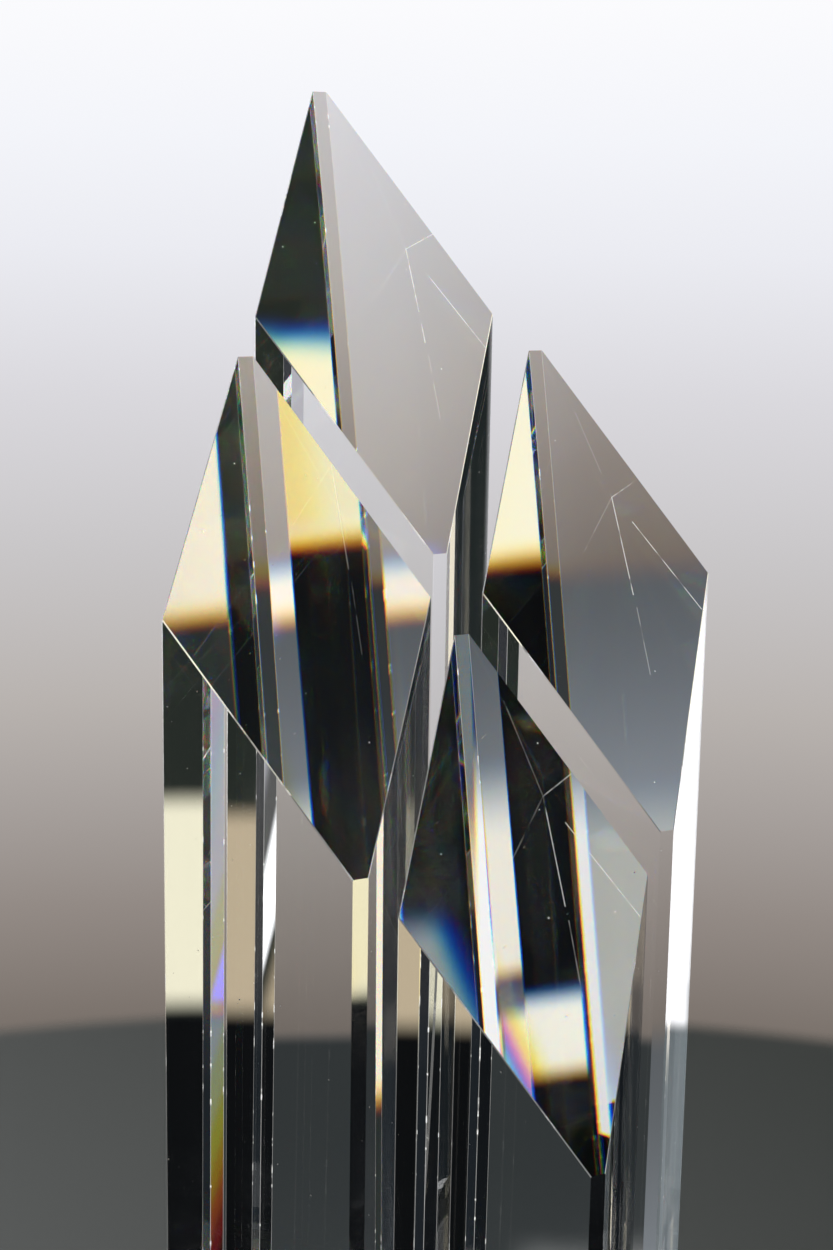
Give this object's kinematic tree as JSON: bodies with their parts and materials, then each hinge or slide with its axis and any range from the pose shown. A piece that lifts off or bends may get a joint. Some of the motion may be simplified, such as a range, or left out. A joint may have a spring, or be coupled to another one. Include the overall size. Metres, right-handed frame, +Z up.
{
  "type": "crystal award",
  "caption": "Group of upright square crystal towers of stepped heights with steep diagonal-cut tops, bonded to a bevelled square crystal base on clear bumper feet.",
  "frame": {"origin": "on the ground under the middle of the square base", "axes": "+Z up along the towers, -Y the front, +X to the right as seen from the front"},
  "size_m": [0.127, 0.127, 0.3058],
  "materials": {
    "optical_crystal": "polished clear optical crystal",
    "clear_adhesive": "thin clear cured adhesive",
    "clear_bumper": "clear soft bumper, satin"
  },
  "bodies": {
    "root": {"tower_back": "optical_crystal", "tower_left": "optical_crystal", "tower_right": "optical_crystal", "tower_front": "optical_crystal", "base_slab": "optical_crystal", "bond_film_back": "clear_adhesive", "bond_film_left": "clear_adhesive", "bond_film_right": "clear_adhesive", "bond_film_front": "clear_adhesive", "foot_front_left": "clear_bumper", "foot_front_right": "clear_bumper", "foot_back_left": "clear_bumper", "foot_back_right": "clear_bumper"}
  },
  "joints": []
}
